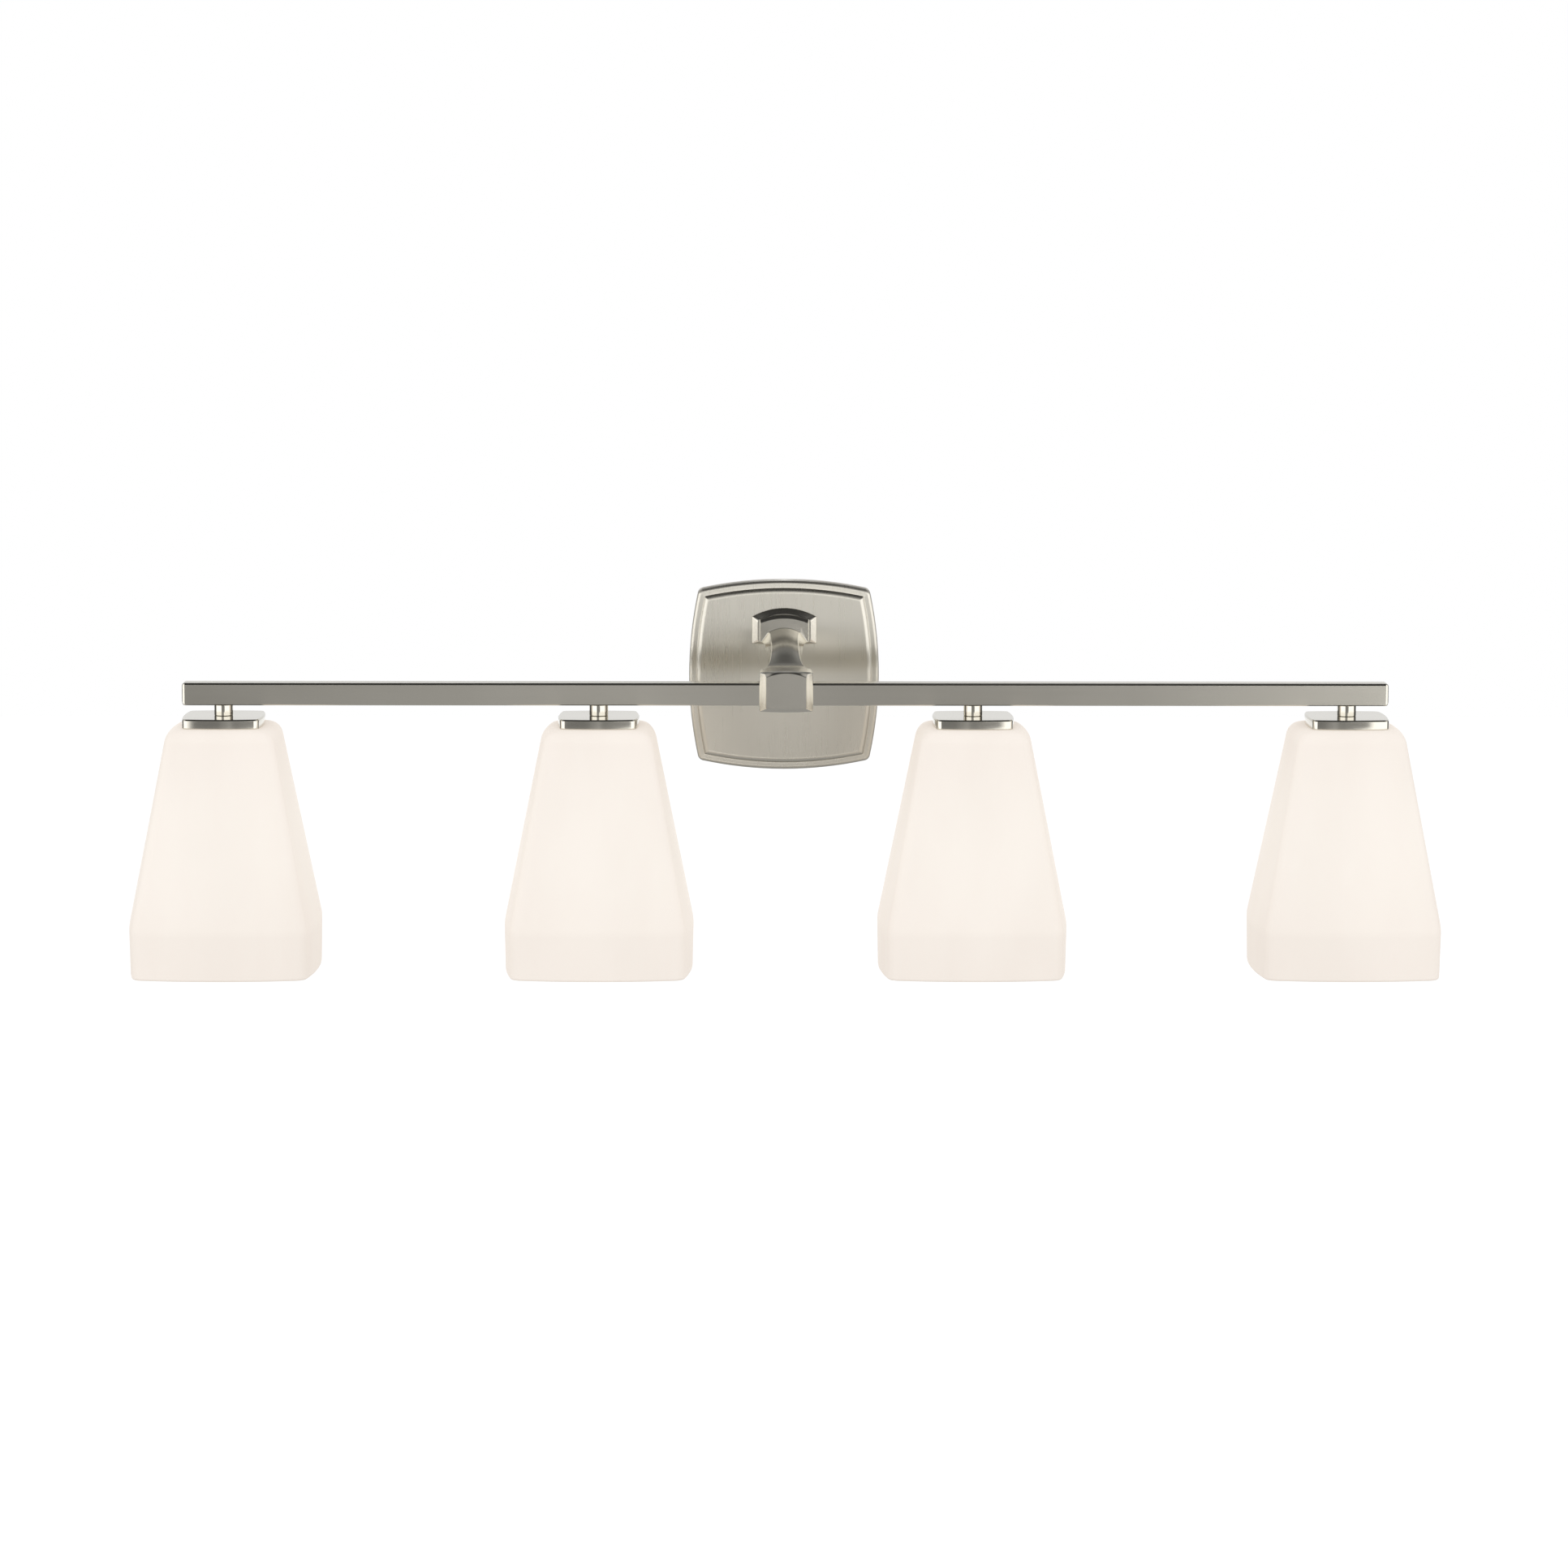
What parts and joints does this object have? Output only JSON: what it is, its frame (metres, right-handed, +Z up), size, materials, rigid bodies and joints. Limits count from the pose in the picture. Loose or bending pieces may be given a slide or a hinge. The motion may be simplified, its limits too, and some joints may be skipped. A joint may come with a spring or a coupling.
{
  "type": "vanity light bar",
  "caption": "Wall light bar: square metal bar on a sloping cast arm and bowed square backplate, with tapered square opal glass shades hanging below.",
  "frame": {"origin": "on the wall plane, at the middle of the backplate and level with the bar", "axes": "+X along the bar, -Y out of the wall towards the room, +Z up"},
  "size_m": [0.8414, 0.1767, 0.2402],
  "materials": {
    "satin_nickel": "brushed satin nickel plate, lacquered",
    "plated_steel": "zinc plated",
    "green_screw": "green dyed zinc plate",
    "porcelain": "glazed white",
    "phenolic": "moulded phenolic",
    "contact_brass": "plain pressed brass",
    "opal_glass": "satin etched opal, lit from inside",
    "bulb_glass": "frosted, lit",
    "lamp_base": "rolled thread",
    "black_insulation": "extruded insulation",
    "white_insulation": "extruded insulation",
    "bare_copper": "bare drawn copper",
    "connector_plastic": "moulded"
  },
  "bodies": {
    "fixture": {"backplate": "satin_nickel", "mounting_bracket": "plated_steel", "locking_screws": "plated_steel", "ground_screw": "green_screw", "arm": "satin_nickel", "arm_washer": "plated_steel", "arm_nut": "plated_steel", "head_screw": "plated_steel", "bar": "satin_nickel", "end_cap_left": "satin_nickel", "end_cap_right": "satin_nickel", "stem_nuts": "plated_steel", "stem_1": "satin_nickel", "stem_2": "satin_nickel", "stem_3": "satin_nickel", "stem_4": "satin_nickel", "holder_1": "satin_nickel", "holder_2": "satin_nickel", "holder_3": "satin_nickel", "holder_4": "satin_nickel", "socket_1": "porcelain", "socket_2": "porcelain", "socket_3": "porcelain", "socket_4": "porcelain", "screw_shells": "contact_brass", "centre_contacts": "contact_brass", "ring_1": "phenolic", "ring_2": "phenolic", "ring_3": "phenolic", "ring_4": "phenolic", "shade_1": "opal_glass", "shade_2": "opal_glass", "shade_3": "opal_glass", "shade_4": "opal_glass", "line_leads": "black_insulation", "neutral_leads": "white_insulation", "ground_lead": "bare_copper", "wire_connectors": "connector_plastic"},
    "lamp_1": {"bulb_base_1": "lamp_base", "bulb_1": "bulb_glass"},
    "lamp_2": {"bulb_base_2": "lamp_base", "bulb_2": "bulb_glass"},
    "lamp_3": {"bulb_base_3": "lamp_base", "bulb_3": "bulb_glass"},
    "lamp_4": {"bulb_base_4": "lamp_base", "bulb_4": "bulb_glass"}
  },
  "joints": [
    {"name": "lamp_1_draw", "type": "slide", "parent": "fixture", "child": "lamp_1", "axis": [0, 0, -1], "range_m": [0, 0.16]},
    {"name": "lamp_2_draw", "type": "slide", "parent": "fixture", "child": "lamp_2", "axis": [0, 0, -1], "range_m": [0, 0.16]},
    {"name": "lamp_3_draw", "type": "slide", "parent": "fixture", "child": "lamp_3", "axis": [0, 0, -1], "range_m": [0, 0.16]},
    {"name": "lamp_4_draw", "type": "slide", "parent": "fixture", "child": "lamp_4", "axis": [0, 0, -1], "range_m": [0, 0.16]}
  ]
}
